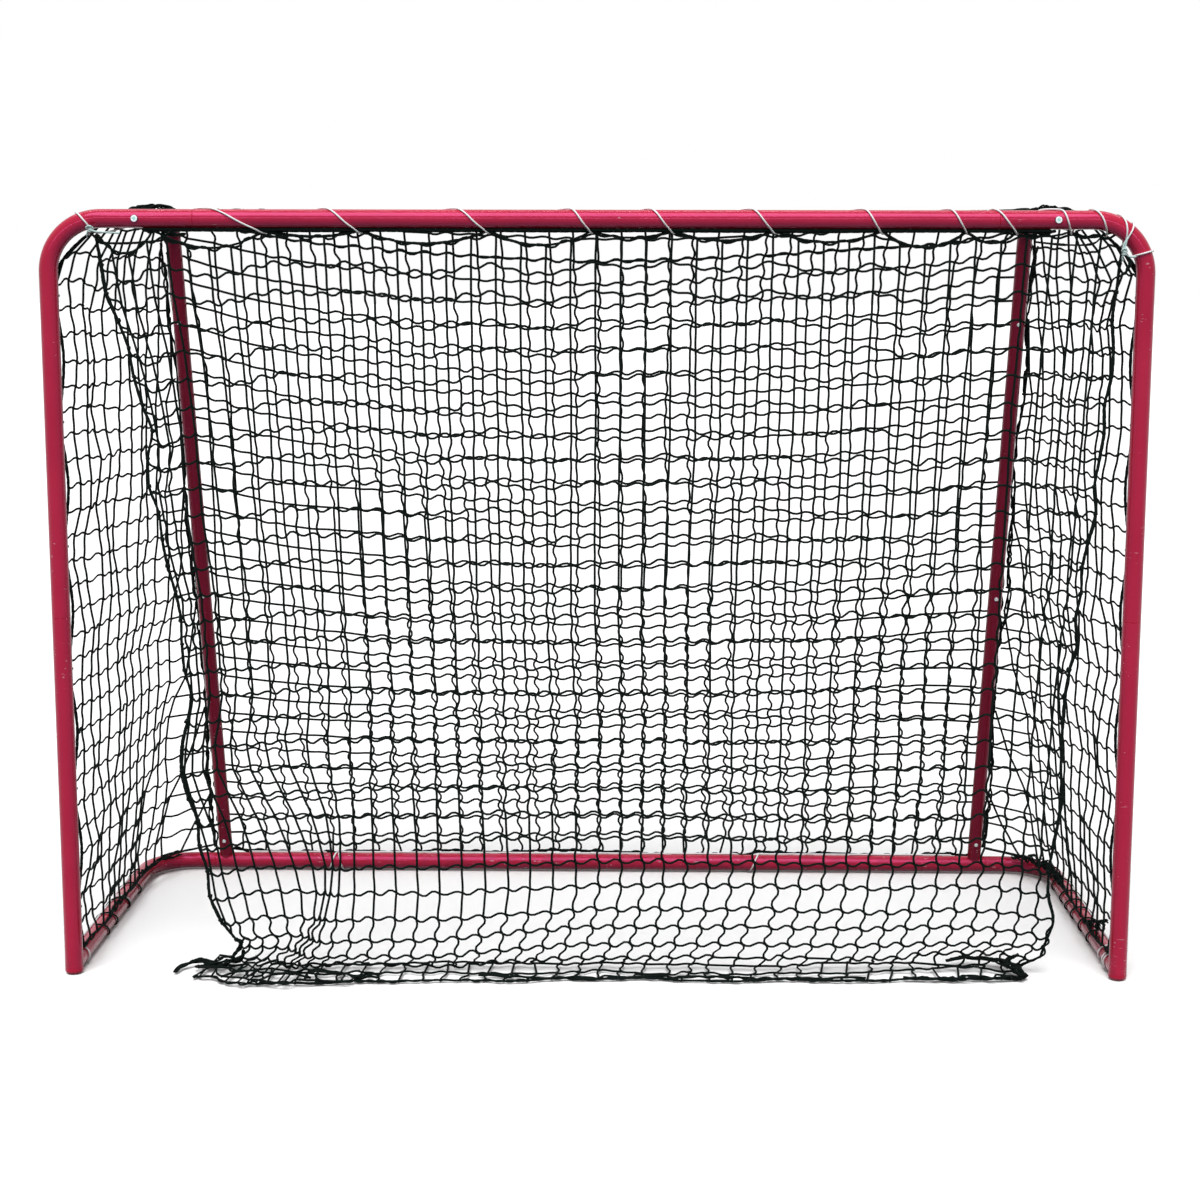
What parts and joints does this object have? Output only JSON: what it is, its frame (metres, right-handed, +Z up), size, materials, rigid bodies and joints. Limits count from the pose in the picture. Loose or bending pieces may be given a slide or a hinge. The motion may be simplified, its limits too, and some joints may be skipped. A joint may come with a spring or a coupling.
{
  "type": "hockey goal",
  "caption": "Knock-down tubular hockey goal with a laced main net round its sides, top and back, and a drop net hung from the crossbar.",
  "frame": {"origin": "middle of the whole goal's footprint, on the floor", "axes": "+X across the mouth to the right as seen from in front, +Y from the mouth to the back of the goal, +Z up"},
  "size_m": [1.6624, 0.652, 1.1854],
  "materials": {
    "frame_paint": "glossy crimson powder coat on steel tube",
    "foot_caps": "crimson, colour-matched to the frame",
    "zinc": "zinc-plated steel",
    "hooks": "black moulded plastic",
    "net_twine": "knotted dark green-black twine",
    "lacing": "white braided cord"
  },
  "bodies": {
    "frame": {"corner_tube_left": "frame_paint", "corner_tube_right": "frame_paint", "crossbar_tube": "frame_paint", "post_tube_left": "frame_paint", "post_tube_right": "frame_paint", "foot_cap_left": "foot_caps", "foot_cap_right": "foot_caps", "base_rail_left": "frame_paint", "base_rail_right": "frame_paint", "back_rail": "frame_paint", "stanchion_arm_left": "frame_paint", "stanchion_arm_right": "frame_paint", "stanchion_upper_left": "frame_paint", "stanchion_upper_right": "frame_paint", "stanchion_lower_left": "frame_paint", "stanchion_lower_right": "frame_paint", "crossbar_bolts": "zinc", "arm_inserts": "zinc", "stanchion_bolts": "zinc", "stanchion_nuts": "zinc", "net_hooks_left": "hooks", "net_hooks_right": "hooks", "net_side_left": "net_twine", "net_side_right": "net_twine", "net_back": "net_twine", "net_top": "net_twine", "crossbar_lacing": "lacing", "lacing_knots": "lacing", "base_lacing_left": "lacing", "base_lacing_right": "lacing", "base_lacing_back": "lacing"},
    "drop_net": {"drop_net": "net_twine", "drop_net_bundle": "net_twine"}
  },
  "joints": [
    {"name": "drop_net_swing", "type": "hinge", "parent": "frame", "child": "drop_net", "pos_m": [0, -0.27612, 1.164], "axis": [1, 0, 0], "range_deg": [0, 20]}
  ]
}
